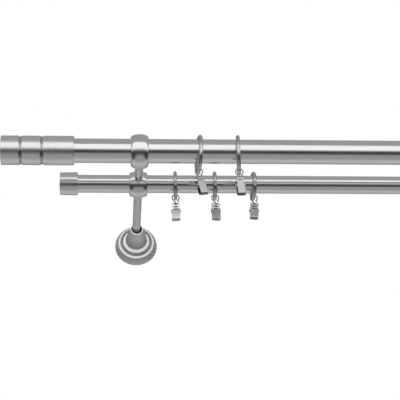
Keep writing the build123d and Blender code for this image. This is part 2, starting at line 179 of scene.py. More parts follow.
# Tones of the studio that the metal reflects. Each row is a turn about the poles in degrees, 0 in front
# and 90 overhead, the tone in the middle and at the sides, the sideways angle where the side begins, and
# how far the row rises at the sides.
LOWER_TONES = (
    (-188, 0.32, 0.10, 50, 0),
    (-160, 0.36, 0.09, 47, 0),
    (-146, 0.46, 0.09, 46, 0),
    (-120, 0.50, 0.10, 44, 0),
    (-108, 0.41, 0.12, 42, 0),
    (-96, 0.32, 0.05, 30, 0),
    (-70, 0.31, 0.05, 19, 0),
    (-58, 0.28, 0.04, 14, 0),
    (-49, 0.12, 0.035, 14, 0),
    (-41, 0.05, 0.035, 18, 0),
    (-31, 0.045, 0.035, 30, 0),
    (-24, 0.12, 0.10, 46, 0),
    (-16, 0.42, 0.36, 56, 0),
    (-8, 0.95, 0.90, 66, 0),
    (-4, 1.0, 1.0, 70, 0),
)
UPPER_TONES = (
    (35, 0.34, 0.14, 62, 11),
    (60, 0.34, 0.14, 62, 6),
    (120, 0.33, 0.14, 62, 0),
    (146, 0.28, 0.12, 50, 0),
    (152, 0.10, 0.06, 50, 0),
    (172, 0.10, 0.06, 50, 0),
)
WING_TONES = ((-4, 1.0, 0.08, 66, 0), (35, 1.0, 0.08, 66, 11))

# The panels' angles in degrees: where the wings start, over how much a row fades to its side tone, where it
# has risen fully, how far a panel reaches and the step between its points. Their sphere is in metres.
WING_START = 64
SIDE_FADE = 20
LIFT_ANGLE = 50
PANEL_REACH = 88
PANEL_STEP = 2.5
PANEL_CENTRE = Vector((0.1, -0.17, 0))
PANEL_RADIUS = 4.0

# The rest of the stage, in metres and watts.
FLOOR_REACH = 12.0
FLOOR_LEVEL = -1.5
SOFT_LEVEL = 0.85
LAMP_WIDTH = 1.6
LAMPS = (("key_box", (-1.4, -2.2, 1.8), 26.0), ("fill_box", (1.8, -2.0, -1.2), 14.0))

# The photograph's camera: its place, its angles in degrees, and its lens on a 36 mm sensor.
CAMERA_PLACE = Vector((-30.43, -1356.77, -720.61)) * MM
CAMERA_RISE = 29.883
CAMERA_TURN = 4.496
CAMERA_ROLL = -1.997
CAMERA_LENS = 119.53
CAMERA_SENSOR = 36.0


def size(millimetres, name, description):
    """A length that a user may change, given in millimetres and kept in metres."""
    return FloatProperty(
        name=name, description=description, default=millimetres * MM, min=0, unit="LENGTH", precision=5
    )


def colour(grey, name, description):
    """A neutral metal colour that a user may change."""
    return FloatVectorProperty(
        name=name, description=description, default=(grey, grey, grey), min=0, max=1, size=3, subtype="COLOR"
    )


class PoleSizes(bpy.types.PropertyGroup):
    """Sizes of the turned, spun and bent metal pieces."""

    front_pole: size(12.5, "Front tube", "Outer radius of the front tube")
    back_pole: size(9.5, "Back tube", "Outer radius of the back tube")
    tube_wall: size(1.0, "Tube wall", "Wall thickness of both tubes")
    tube_edge: size(0.15, "Tube edge", "Rounding of the tubes' cut ends")
    finial: size(15.0, "Finial", "Outer radius of a finial")
    finial_length: size(74.5, "Finial length", "Length of a finial beyond the tube")
    finial_dome: size(0.9, "Finial dome", "Rise of the finial's outer end")
    finial_edge: size(0.55, "Finial edge", "Rounding of the finial's ends")
    first_groove: size(32.4, "First groove", "Distance of the first groove from the tube")
    groove_pitch: size(21.5, "Groove pitch", "Distance between the finial's grooves")
    groove_width: size(3.5, "Groove width", "Width of a V groove at its mouth")
    groove_depth: size(1.2, "Groove depth", "Depth of a V groove")
    groove_lip: size(0.25, "Groove lip", "Rounding of a groove's lips and bottom")
    plug: size(11.45, "Plug", "Radius of the plug that enters the tube")
    plug_length: size(22.0, "Plug length", "Length of the plug")
    cap_inner: size(12.35, "Cap mouth", "Outer radius of an end cap at its mouth")
    cap_outer: size(11.95, "Cap end", "Outer radius of an end cap at its closed end")
    cap_floor: size(4.0, "Cap floor", "Thickness of an end cap's closed end")
    cap_edge: size(0.6, "Cap edge", "Rounding of an end cap's edges")
    cap_bore: size(9.55, "Cap bore", "Radius of an end cap's bore")
    cap_dome: size(0.5, "Cap dome", "Rise of an end cap's closed end")
    holder_gap: size(0.1, "Holder gap", "Radial gap between a holder's bore and the tube")
    front_side: size(14.0, "Front holder side", "Outer radius of the front holder's flat sides")
    back_side: size(11.0, "Back holder side", "Outer radius of the back holder's flat sides")
    holder_edge: size(0.3, "Holder edge", "Rounding of a holder's bore edges")
    holder_drop: size(0.8, "Holder drop", "How far a holder's outside sits below its bore")
    grub: size(2.5, "Grub screw", "Radius of a holder's grub screw")
    arm: size(4.4, "Arm", "Radius of the arm rods")
    arm_edge: size(0.35, "Arm edge", "Rounding of the arm rods' ends")
    spigot: size(3.0, "Spigot", "Radius of the front arm's spigots")
    front_spigot: size(2.8, "Front spigot", "Length of the front arm's spigot in the front holder")
    back_spigot: size(1.9, "Back spigot", "Length of the front arm's spigot in the back holder")
    cover_sheet: size(0.9, "Cover sheet", "Thickness of the spun cover")
    cover_mouth: size(7.0, "Cover mouth", "Outer radius of the cover's narrow end")
    cover_lip: size(5.8, "Cover lip", "Inner radius of the lip that is rolled in at the cover's narrow end")
    ring_wire: size(1.85, "Ring wire", "Radius of the rings' wire")
    hook_wire: size(0.6, "Hook wire", "Radius of the hooks' wire")
    hook_loop: size(3.75, "Hook loop", "Radius of a hook's loop, at the middle of its wire")
    hook_leg: size(5.65, "Hook leg", "Drop from the loop's middle to where its leg would meet the shank")
    hook_drop: size(7.0, "Hook drop", "Drop from the loop's middle to the top of a clip's tab")
    hook_shank: size(8.0, "Hook shank", "Drop from the loop's middle to the riveted head")
    hook_bend: size(1.2, "Hook bend", "Bend radius between a hook's leg and its shank")
    hook_head: size(1.0, "Hook head", "Radius of the riveted head under a clip's tab")
    sheet_edge: size(0.1, "Sheet edge", "Rounding of the edges of stamped sheet pieces")
    steps: IntProperty(name="Segments", description="Segments around a turned piece", default=160, min=24)


class PoleColours(bpy.types.PropertyGroup):
    """Colours of the metals and of the stage."""

    nickel: colour(0.92, "Satin nickel", "Tubes, finials, caps, holders, arms and covers")
    front_arm: colour(0.82, "Front arms", "Brushed nickel of the short rods between the holders")
    rear_arm: colour(0.58, "Rear arms", "Satin nickel of the long rods to the wall")
    wire: colour(0.74, "Ring wire", "Plated wire of the rings")
    hook: colour(0.42, "Hook wire", "Wire of the hooks and their riveted heads")
    bright: colour(0.92, "Bright nickel", "Clips, jaws and pins")
    spring: colour(0.34, "Spring steel", "Leaf springs of the clips")
    zinc: colour(0.66, "Zinc plate", "Wall plates")
    black: colour(0.10, "Black steel", "Grub screws")
    floor: colour(0.86, "Floor", "The plain floor")


def sizes():
    return bpy.context.scene.pole_sizes


def colours():
    return bpy.context.scene.pole_colours


class Number:
    """A shader socket that holds a number, so that shader maths reads as an expression."""

    def __init__(self, graph, socket):
        self.graph = graph
        self.socket = socket

    def combine(self, operation, first, second=0.0):
        node = self.graph.node("ShaderNodeMath", {"operation": operation}, {0: first, 1: second})
        return Number(self.graph, node.outputs[0])

    def __add__(self, other):
        return self.combine("ADD", self, other)

    def __sub__(self, other):
        return self.combine("SUBTRACT", self, other)

    def __rsub__(self, other):
        return self.combine("SUBTRACT", other, self)

    def __mul__(self, other):
        return self.combine("MULTIPLY", self, other)

    __radd__ = __add__
    __rmul__ = __mul__

    def larger(self, other):
        return self.combine("MAXIMUM", self, other)

    def magnitude(self):
        return self.combine("ABSOLUTE", self)

    def clamped(self, low, high):
        """This number, mapped so that low becomes 0 and high becomes 1, and held between them."""
        ends = {0: self, 1: low, 2: high, 3: 0.0, 4: 1.0}
        node = self.graph.node("ShaderNodeMapRange", {"clamp": True}, ends)
        return Number(self.graph, node.outputs[0])


class Graph:
    """A node tree that nodes and shader maths are added to."""

    def __init__(self, tree):
        self.tree = tree

    def node(self, kind, settings=None, inputs=None):
        """Adds a node, sets its settings, then sets or links its inputs."""
        node = self.tree.nodes.new(kind)
        for key, value in (settings or {}).items():
            setattr(node, key, value)
        for key, value in (inputs or {}).items():
            self.feed(node.inputs[key], value)
        return node

    def feed(self, socket, value):
        """Links a socket to a Number or an output, or sets its constant."""
        if isinstance(value, Number):
            self.tree.links.new(value.socket, socket)
        elif isinstance(value, bpy.types.NodeSocket):
            self.tree.links.new(value, socket)
        else:
            socket.default_value = value

    def number(self, socket):
        return Number(self, socket)

    def place(self):
        """The point being shaded, in the object's own coordinates, which are the frame's."""
        return self.node("ShaderNodeTexCoord").outputs["Object"]

    def noise(self, vector, scale, detail=3.0, roughness=0.55):
        inputs = {"Vector": vector, "Scale": scale, "Detail": detail, "Roughness": roughness}
        return self.number(self.node("ShaderNodeTexNoise", None, inputs).outputs["Fac"])

    def vector(self, operation, first, second=(0, 0, 0)):
        """A Vector Math node."""
        return self.node("ShaderNodeVectorMath", {"operation": operation}, {0: first, 1: second})

    def stretched(self, vector, scale):
        """A vector multiplied part by part, to draw a texture out along one direction."""
        return self.vector("MULTIPLY", vector, scale).outputs[0]

    def around(self, vector, centre, axis):
        """Coordinates for a turned piece: distance along its axis, distance from it, and a slow turn."""
        moved = self.vector("SUBTRACT", vector, centre).outputs[0]
        along = self.vector("DOT_PRODUCT", moved, axis).outputs["Value"]
        flat = self.stretched(moved, [1 - abs(part) for part in axis])
        out = self.vector("LENGTH", flat).outputs["Value"]
        turn = self.vector("DOT_PRODUCT", flat, SLOW_TURN).outputs["Value"]
        return self.node("ShaderNodeCombineXYZ", None, {0: along, 1: out, 2: turn}).outputs[0]

    def blend(self, first, second, amount):
        """One colour, mixed towards another by a number."""
        node = self.node("ShaderNodeMix", {"data_type": "RGBA"}, {"Factor": amount})
        ends = [socket for socket in node.inputs if socket.type == "RGBA"]
        self.feed(ends[0], first)
        self.feed(ends[1], second)
        return [socket for socket in node.outputs if socket.type == "RGBA"][0]

    def tint(self, base, darker, amount):
        """The base colour, mixed towards a darker grey by a number."""
        return self.blend((*base, 1), (*[part * darker for part in base], 1), amount)

    def bump(self, height, strength, distance):
        inputs = {"Height": height, "Strength": strength, "Distance": distance}
        return self.node("ShaderNodeBump", None, inputs).outputs["Normal"]


class Surface(Graph):
    """The node tree of a new material, with its shader and output already joined."""

    def __init__(self, name):
        self.material = bpy.data.materials.new(name)
        self.material.use_nodes = True
        super().__init__(self.material.node_tree)
        self.shader = self.tree.nodes["Principled BSDF"]
        self.output = self.tree.nodes["Material Output"]

    def shade(self, **inputs):
        """Sets or links the shader's inputs, named as in the shader with underscores for spaces."""
        for name, value in inputs.items():
            self.feed(self.shader.inputs[name.replace("_", " ")], value)


def metal(
    name,
    base,
    grain_place,
    roughness,
    scale,
    relief=0.06,
    spread=0.07,
    smudge=0.05,
    metallic=1.0,
    shaded_grooves=(),
):
    """Plated metal with a directional grain, faint handling marks and a roughness that varies with both.

    Grooves are (place along X, half width), where painted shade darkens the metal.
    """
    graph = Surface(name)
    where = graph.place()
    grain_at = grain_place(graph, where)
    fine = graph.noise(grain_at, scale, detail=4.0, roughness=0.6)
    coarse = graph.noise(grain_at, scale * COARSE_SCALE, detail=2.0)
    marks = graph.noise(where, MARK_SCALE, detail=3.0, roughness=0.6).clamped(*MARK_RANGE)
    grain = fine * FINE_SHARE + coarse * (1 - FINE_SHARE)
    plated = graph.tint(base, GRAIN_DARKER, grain.clamped(*GRAIN_RANGE) * GRAIN_TONE + marks * smudge)
    # Painted shade in the finial's grooves: the metal is mixed towards a dark grey there.
    for place, half_width in shaded_grooves:
        along = graph.number(graph.node("ShaderNodeSeparateXYZ", None, {0: where}).outputs["X"])
        depth = (along - place).magnitude().clamped(half_width, half_width / 2)
        plated = graph.blend(plated, GROOVE_SHADE_GREY, depth * GROOVE_SHADE_TONE)
    graph.shade(
        Base_Color=plated,
        Metallic=metallic,
        Roughness=grain * spread + marks * smudge + (roughness - spread / 2),
        Normal=graph.bump(grain, relief, RELIEF),
    )
    return graph.material


def painted_cover_metal(name, base, origin, steps, mouth):
    """Spun satin nickel with painted light and shade: even grey flats and neck, painted darker as shade
    between the steps and at the neck's foot, with paler steps and a pale lip at the mouth as painted
    highlights.
    """
    graph = Surface(name)
    where = graph.place()
    turned = graph.around(where, tuple(origin), tuple(Y_AXIS))
    parts = graph.node("ShaderNodeSeparateXYZ", None, {0: turned})
    out = graph.number(parts.outputs["Y"])
    depth = 0 - graph.number(parts.outputs["X"])
    blur = COVER_BLUR
    # Painted highlights: the lip at the mouth and the two steps are paler.
    pale = depth.clamped(mouth - 3 * blur, mouth - blur)
    for low, high in steps:
        pale = pale + out.clamped(low, low + blur) * (1 - out.clamped(high - blur, high))
    (inner_low, inner_high), (outer_low, _) = steps
    flat = out.clamped(inner_high - blur, inner_high) * (1 - out.clamped(outer_low, outer_low + blur))
    neck = 1 - out.clamped(inner_low - blur, inner_low)
    foot_shade = neck * (1 - depth.clamped(*[share * mouth for share in FOOT_SHADE_FADE]))
    # Painted shade on the flat between the steps and at the neck's foot, and a lighter neck; the steps and
    # the lip take the paler highlight tone.
    painted_shade = flat * FLAT_SHADE_TONE + foot_shade * FOOT_SHADE_TONE - neck * NECK_LIGHT_TONE + COVER_TONE
    shade = (1 - pale) * painted_shade + pale * STEP_HIGHLIGHT_TONE
    grain = graph.noise(turned, COVER_GRAIN, detail=4.0, roughness=0.6)
    marks = graph.noise(where, COVER_MARKS)
    graph.shade(
        Base_Color=graph.tint(base, COVER_DARKER, shade + grain * 0.06 + marks * 0.04),
        Metallic=COVER_METALLIC - pale * STEP_METALLIC,
        Roughness=grain * 0.08 + marks * 0.05 + COVER_ROUGHNESS,
        Normal=graph.bump(grain, 0.05, RELIEF),
    )
    return graph.material


def lengthwise(direction):
    """Grain drawn out along one direction, as on a brushed tube."""
    squeeze = [GRAIN_SQUEEZE if part else 1.0 for part in direction]

    def place(graph, where):
        return graph.stretched(where, squeeze)

    return place


def turned_grain(centre, axis):
    """Grain that runs round an axis, as on a turned or spun piece."""

    def place(graph, where):
        return graph.around(where, tuple(centre), tuple(axis))

    return place


def stamped_grain(graph, where):
    """An even, fine-grained surface, as on tumbled and plated stampings."""
    return where


def dress(piece, material, node, body):
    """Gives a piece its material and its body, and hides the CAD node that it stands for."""
    piece.data.materials.clear()
    piece.data.materials.append(material)
    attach(piece, body)
    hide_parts(node)


def add_object(name, data):
    """A new object that is linked into the scene."""
    piece = bpy.data.objects.new(name, data)
    bpy.context.scene.collection.objects.link(piece)
    return piece


def new_piece(name, work):
    """A smooth piece with the finished work mesh's form, whose flat faces keep their flat shading."""
    mesh = bpy.data.meshes.new(name)
    work.to_mesh(mesh)
    work.free()
    piece = add_object(name, mesh)
    for polygon in mesh.polygons:
        polygon.use_smooth = True
    mesh.set_sharp_from_angle(angle=radians(SHARP_ANGLE))
    weighted = piece.modifiers.new("even normals", "WEIGHTED_NORMAL")
    weighted.keep_sharp = True
    return piece


def rounded(corners, closed=False):
    """Turns corners (along, out, rounding) into an outline whose corners are arcs."""
    outline = []
    count = len(corners)
    for index, (along, out, rounding) in enumerate(corners):
        here = Vector((along, out))
        if rounding == 0 or (not closed and index in (0, count - 1)):
            outline.append(here)
            continue
        before = Vector(corners[index - 1][:2]) - here
        after = Vector(corners[(index + 1) % count][:2]) - here
        half = before.angle(after) / 2
        reach = min(rounding / tan(half), ARC_SHARE * before.length, ARC_SHARE * after.length)
        radius = reach * tan(half)
        middle = here + (before.normalized() + after.normalized()).normalized() * (radius / sin(half))
        first = here + before.normalized() * reach - middle
        last = here + after.normalized() * reach - middle
        sweep = first.angle_signed(last)
        for step in range(ARC_STEPS + 1):
            turned = Matrix.Rotation(-sweep * step / ARC_STEPS, 2)
            outline.append(middle + turned @ first)
    return outline


def lathe(name, outline, origin, axis, closed=False):
    """A turned piece: an outline of (along, out) revolved about an axis through the origin."""
    side = axis.orthogonal().normalized()
    other = axis.cross(side)
    turns = sizes().steps
    work = bmesh.new()
    rows = []
    for along, out in outline:
        if out < ON_AXIS:
            rows.append([work.verts.new(origin + axis * along)])
            continue
        rows.append([])
        for turn in range(turns):
            angle = 2 * pi * turn / turns
            spoke = side * cos(angle) + other * sin(angle)
            rows[-1].append(work.verts.new(origin + axis * along + spoke * out))
    pairs = list(zip(rows, rows[1:]))
    if closed:
        pairs.append((rows[-1], rows[0]))
    for one, two in pairs:
        for turn in range(turns):
            after = (turn + 1) % turns
            loop = [one[turn % len(one)], one[after % len(one)], two[after % len(two)], two[turn % len(two)]]
            corners = list(dict.fromkeys(loop))
            if len(corners) > 2:
                work.faces.new(corners)
    bmesh.ops.recalc_face_normals(work, faces=work.faces)
    return new_piece(name, work)


def tube_along(name, path, radius):
    """A round wire along a path of points that lies in one plane, with flat ends."""
    work = bmesh.new()
    normal = (path[1] - path[0]).cross(path[len(path) // 3] - path[0]).normalized()
    rows = []
    for index, point in enumerate(path):
        ahead = path[min(index + 1, len(path) - 1)] - path[max(index - 1, 0)]
        across = ahead.normalized().cross(normal)
        rows.append([])
        for side in range(HOOK_SIDES):
            angle = 2 * pi * side / HOOK_SIDES
            spoke = normal * cos(angle) + across * sin(angle)
            rows[-1].append(work.verts.new(point + spoke * radius))
    for one, two in zip(rows, rows[1:]):
        for side in range(HOOK_SIDES):
            after = (side + 1) % HOOK_SIDES
            work.faces.new([one[side], one[after], two[after], two[side]])
    work.faces.new(rows[0])
    work.faces.new(rows[-1])
    bmesh.ops.recalc_face_normals(work, faces=work.faces)
    return new_piece(name, work)


def softened(node, edge):
    """A copy of a stamped CAD node's form with its edges rounded a little."""
    work = bmesh.new()
    work.from_mesh(frame["nodes"][node].data)
    bmesh.ops.remove_doubles(work, verts=work.verts, dist=WELD)
    bmesh.ops.dissolve_limit(work, angle_limit=radians(FLAT_ANGLE), verts=work.verts, edges=work.edges)
    inner = [side for side in work.edges if len(side.link_faces) == 2]
    sharp = [side for side in inner if side.calc_face_angle(0) > radians(ROUNDED_ANGLE)]
    bmesh.ops.bevel(
        work, geom=sharp, offset=edge, segments=2, profile=0.6, affect="EDGES", clamp_overlap=True
    )
    bmesh.ops.triangulate(work, faces=[face for face in work.faces if len(face.verts) > 4])
    return new_piece(node + "_form", work)


def pole_line(pole):
    """The centre line of a pole as a point at x = 0."""
    low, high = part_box(f"{pole}_pole")
    middle = (low + high) / 2
    return Vector((0, middle.y, middle.z))


class POLE_OT_tubes(bpy.types.Operator):
    """Add the two brushed tubes"""

    bl_idname = "pole.tubes"
    bl_label = "Tubes"

    def execute(self, context):
        s = sizes()
        for pole, radius in (("front", s.front_pole), ("back", s.back_pole)):
            node = f"{pole}_pole"
            low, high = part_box(node)
            bore = radius - s.tube_wall
            ends = [
                (low.x, radius, s.tube_edge), (high.x, radius, s.tube_edge),
                (high.x, bore, s.tube_edge), (low.x, bore, s.tube_edge),
            ]
            tube = lathe(f"{pole}_tube", rounded(ends, closed=True), pole_line(pole), X_AXIS, closed=True)
            finish = metal(
                f"{pole} tube nickel",
                colours().nickel,
                lengthwise(X_AXIS),
                roughness=0.14,
                scale=900.0,
                relief=0.015,
                spread=0.05,
            )
            dress(tube, finish, node, FRAME_BODY)
        return {"FINISHED"}


class POLE_OT_finials(bpy.types.Operator):
    """Add the turned finials of the front tube"""

    bl_idname = "pole.finials"
    bl_label = "Finials"

    def execute(self, context):
        s = sizes()
        low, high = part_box("front_pole")
        centre = pole_line("front")
        middles = [s.first_groove, s.first_groove + s.groove_pitch]
        for side, end, way in (("left", low.x, -1), ("right", high.x, 1)):
            straight = s.finial_length - s.finial_dome
            corners = [(-s.plug_length, 0, 0), (-s.plug_length, s.plug, s.tube_edge), (0, s.plug, 0)]
            corners.append((0, s.finial, s.finial_edge))
            for middle in middles:
                corners.append((middle - s.groove_width / 2, s.finial, s.groove_lip))
                corners.append((middle, s.finial - s.groove_depth, s.groove_lip))
                corners.append((middle + s.groove_width / 2, s.finial, s.groove_lip))
            corners.append((straight, s.finial, s.finial_edge))
            for step in range(DOME_STEPS - 1, -1, -1):
                share = step / DOME_STEPS
                out = (s.finial - s.finial_edge) * share
                corners.append((straight + s.finial_dome * (1 - share**2), out, 0))
            finial = lathe(f"finial_{side}_turned", rounded(corners), centre + X_AXIS * end, X_AXIS * way)
            finish = metal(
                f"finial {side} nickel",
                colours().nickel,
                turned_grain(centre, X_AXIS),
                roughness=0.27,
                scale=2200.0,
                relief=0.03,
                spread=0.06,
                # The grooves get painted shade.
                shaded_grooves=[(end + way * middle, s.groove_width / 2) for middle in middles],
            )
            dress(finial, finish, f"finial_{side}", FRAME_BODY)
        return {"FINISHED"}


class POLE_OT_caps(bpy.types.Operator):
    """Add the tapered end caps of the back tube"""

    bl_idname = "pole.caps"
    bl_label = "End caps"

    def execute(self, context):
        s = sizes()
        pole_low, pole_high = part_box("back_pole")
        centre = pole_line("back")
        for side, end, way in (("left", pole_low.x, -1), ("right", pole_high.x, 1)):
            low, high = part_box(f"end_cap_{side}")
            mouth = s.cap_floor - (high.x - low.x)
            lack, share = CAP_DOME
            corners = [
                (0, 0, 0),
                (0, s.cap_bore, 0),
                (mouth, s.cap_bore, s.tube_edge),
                (mouth, s.cap_inner, s.cap_edge),
                (s.cap_floor - s.cap_dome, s.cap_outer, s.cap_edge),
                (s.cap_floor - s.cap_dome * lack, s.cap_outer * share, 0),
                (s.cap_floor, 0, 0),
            ]
            cap = lathe(f"end_cap_{side}_turned", rounded(corners), centre + X_AXIS * end, X_AXIS * way)
            finish = metal(
                f"end cap {side} nickel",
                colours().nickel,
                turned_grain(centre, X_AXIS),
                roughness=0.22,
                scale=2200.0,
                relief=0.03,
                spread=0.06,
            )
            dress(cap, finish, f"end_cap_{side}", FRAME_BODY)
        return {"FINISHED"}


class POLE_OT_holders(bpy.types.Operator):
    """Add the barrel-shaped holders with their grub screw holes"""

    bl_idname = "pole.holders"
    bl_label = "Holders"

    def execute(self, context):
        s = sizes()
        poles = (("front", s.front_pole, s.front_side), ("back", s.back_pole, s.back_side))
        for pole, tube, side_radius in poles:
            for side in SIDES:
                node = f"{pole}_holder_{side}"
                low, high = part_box(node)
                half = (high.x - low.x) / 2
                crown = (high.z - low.z) / 2 - side_radius
                bore = tube + s.holder_gap
                outline = [(-half, bore + s.holder_edge)]
                for step in range(HOLDER_STEPS + 1):
                    angle = pi * step / HOLDER_STEPS
                    outline.append((-half * cos(angle), side_radius + crown * sin(angle)))
                outline.append((half, bore + s.holder_edge))
                outline.append((half - s.holder_edge, bore))
                outline.append((s.holder_edge - half, bore))
                origin = pole_line(pole) + X_AXIS * (low.x + high.x) / 2
                barrel = lathe(f"{node}_barrel", outline, origin, X_AXIS, closed=True)
                for vertex in barrel.data.vertices:
                    from_axis = vertex.co - origin
                    out = Vector((0, from_axis.y, from_axis.z)).length
                    vertex.co.z -= s.holder_drop * (out - bore) / (side_radius + crown - bore)
                self.drill(barrel, origin, s.grub)
                finish = metal(
                    f"{pole} holder {side} nickel",
                    colours().nickel,
                    turned_grain(origin, X_AXIS),
                    roughness=0.17,
                    scale=2600.0,
                    relief=0.02,
                    spread=0.04,
                )
                dress(barrel, finish, node, FRAME_BODY)
        return {"FINISHED"}

    def drill(self, barrel, origin, radius):
        """Cuts the grub screw's hole, which points at the tube from below and behind."""
        way = (Y_AXIS - Z_AXIS).normalized()
        outline = [(0, 0), (0, radius), (DRILL_LENGTH, radius), (DRILL_LENGTH, 0)]
        drill = lathe("grub_drill", outline, origin, way)
        cut = barrel.modifiers.new("grub hole", "BOOLEAN")
        cut.object = drill
        cut.solver = "EXACT"
        graph = bpy.context.evaluated_depsgraph_get()
        drilled = bpy.data.meshes.new_from_object(barrel.evaluated_get(graph))
        barrel.modifiers.clear()
        barrel.data = drilled
        bpy.data.objects.remove(drill)


class POLE_OT_arms(bpy.types.Operator):
    """Add the round arm rods"""

    bl_idname = "pole.arms"
    bl_label = "Arms"

    def execute(self, context):
        s = sizes()
        rods = (("rear", colours().rear_arm, 0.6), ("front", colours().front_arm, 1.0))
        for part, base, metallic in rods:
            for side in SIDES:
                node = f"{part}_arm_{side}"
                low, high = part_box(node)
                origin = Vector(((low.x + high.x) / 2, 0, (low.z + high.z) / 2))
                first, last = low.y, high.y
                corners = [(first, 0, 0)]
                if part == "front":
                    first = low.y + s.front_spigot
                    last = high.y - s.back_spigot
                    corners += [(low.y, s.spigot, 0), (first, s.spigot, 0)]
                corners += [(first, s.arm, s.arm_edge), (last, s.arm, s.arm_edge)]
                if part == "front":
                    corners += [(last, s.spigot, 0), (high.y, s.spigot, 0)]
                corners.append((high.y, 0, 0))
                rod = lathe(f"{node}_rod", rounded(corners), origin, Y_AXIS)
                finish = metal(
                    f"{part} arm {side} nickel",
                    base,
                    lengthwise(Y_AXIS),
                    roughness=0.2,
                    scale=1400.0,
                    metallic=metallic,
                )
                dress(rod, finish, node, FRAME_BODY)
        return {"FINISHED"}


class POLE_OT_covers(bpy.types.Operator):
    """Add the spun rosette covers"""

    bl_idname = "pole.covers"
    bl_label = "Rosette covers"

    def execute(self, context):
        s = sizes()
        sheet = s.cover_sheet / MM
        mouth = COVER_OUTLINE[-1][0]
        shift = COVER_SHIFT * sheet
        inner = [(max(along - shift, 0), out - sheet, edge) for along, out, edge in COVER_OUTLINE]
        roll, rise, bend = COVER_ROLL
        lip = (mouth, s.cover_lip / MM, COVER_LIP_EDGE)
        inner[-1:] = [(roll, s.cover_mouth / MM - sheet + rise, bend), lip]
        outline = [*COVER_OUTLINE, *inner[::-1]]
        corners = [(along * MM, out * MM, edge * MM) for along, out, edge in outline]
        steps = [(low * MM, high * MM) for low, high in COVER_STEPS]
        for side in SIDES:
            node = f"rosette_cover_{side}"
            low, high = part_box(node)
            origin = Vector(((low.x + high.x) / 2, high.y, (low.z + high.z) / 2))
            cover = lathe(f"{node}_spun", rounded(corners, closed=True), origin, -Y_AXIS, closed=True)
            finish = painted_cover_metal(f"cover {side} nickel", colours().nickel, origin, steps, mouth * MM)
            dress(cover, finish, node, f"cover_{side}")
        return {"FINISHED"}


class POLE_OT_plates(bpy.types.Operator):
    """Finish the wall plates and the grub screws"""

    bl_idname = "pole.plates"
    bl_label = "Wall plates and grub screws"

    def execute(self, context):
        zinc = metal(
            "zinc plate",
            colours().zinc,
            stamped_grain,
            roughness=0.34,
            scale=700.0,
            relief=0.2,
            spread=0.12,
            smudge=0.10,
        )
        black = metal(
            "black steel",
            colours().black,
            stamped_grain,
            roughness=0.42,
            scale=1500.0,
            relief=0.2,
            spread=0.12,
        )
        for side in SIDES:
            plate = softened(f"wall_plate_{side}", sizes().sheet_edge * 2)
            dress(plate, zinc, f"wall_plate_{side}", FRAME_BODY)
            screws = softened(f"grub_screws_{side}", sizes().sheet_edge)
            dress(screws, black, f"grub_screws_{side}", FRAME_BODY)
        return {"FINISHED"}


def set_nodes(name):
    """The names of a ring set's nodes, from a name such as front_1."""
    pole, number = name.split("_")
    parts = ("ring", "hook", "clip", "jaw", "pin", "spring")
    return {part: f"{pole}_{part}_{number}" for part in parts}


class POLE_OT_rings(bpy.types.Operator):
    """Add the round wire rings"""

    bl_idname = "pole.rings"
    bl_label = "Rings"

    def execute(self, context):
        s = sizes()
        for name in SETS:
            node = set_nodes(name)["ring"]
            low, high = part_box(node)
            centre = (low + high) / 2
            swing = JOINTS[f"{set_nodes(name)['hook']}_swing"]
            down = Vector(swing["pos_m"]) - centre
            radius = down.length
            axis = down.cross(Vector(swing["axis"])).normalized()
            outline = []
            for step in range(WIRE_SIDES):
                angle = 2 * pi * step / WIRE_SIDES
                outline.append((s.ring_wire * sin(angle), radius + s.ring_wire * cos(angle)))
            ring = lathe(f"{node}_wire", outline, centre, axis, closed=True)
            grain = turned_grain(centre, axis)
            finish = metal(f"{name} ring nickel", colours().wire, grain, roughness=0.2, scale=500.0)
            dress(ring, finish, node, node)
        return {"FINISHED"}


class POLE_OT_hooks(bpy.types.Operator):
    """Add the wire hooks with their riveted heads"""

    bl_idname = "pole.hooks"
    bl_label = "Hooks"

    def execute(self, context):
        s = sizes()
        plated = metal(
            "hook nickel", colours().hook, stamped_grain, roughness=0.2, scale=900.0, relief=0.05
        )
        for name in SETS:
            nodes = set_nodes(name)
            top = Vector(JOINTS[f"{nodes['clip']}_swivel"]["pos_m"])
            loop = top + Z_AXIS * s.hook_drop
            touch = asin(s.hook_loop / s.hook_leg)
            tail = [(across * MM, above * MM, bend * MM) for across, above, bend in HOOK_TAIL]
            right = (s.hook_loop * cos(touch), -s.hook_loop * sin(touch))
            flat = rounded(tail + [(*right, 0)])
            for step in range(1, HOOK_STEPS):
                angle = -touch + (pi + 2 * touch) * step / HOOK_STEPS
                flat.append(Vector((s.hook_loop * cos(angle), s.hook_loop * sin(angle))))
            leg = [(-right[0], right[1], 0), (0, -s.hook_leg, s.hook_bend), (0, -s.hook_shank, 0)]
            flat += rounded(leg)
            path = [loop + X_AXIS * point.x + Z_AXIS * point.y for point in flat]
            wire = tube_along(f"{nodes['hook']}_wire", path, s.hook_wire)
            head_at = loop - Z_AXIS * s.hook_shank
            outline = [(along * MM, out * s.hook_head) for along, out in HOOK_HEAD]
            head = lathe(f"{nodes['hook']}_head", outline, head_at, -Z_AXIS)
            dress(head, plated, nodes["hook"], nodes["hook"])
            dress(wire, plated, nodes["hook"], nodes["hook"])
        return {"FINISHED"}


def clip_directions(nodes):
    """A clip's top, its hinge pin, and the directions up and across its plate."""
    hinge = JOINTS[f"{nodes['jaw']}_hinge"]
    top = Vector(JOINTS[f"{nodes['clip']}_swivel"]["pos_m"])
    pin = Vector(hinge["pos_m"])
    return top, pin, (top - pin).normalized(), -Vector(hinge["axis"])


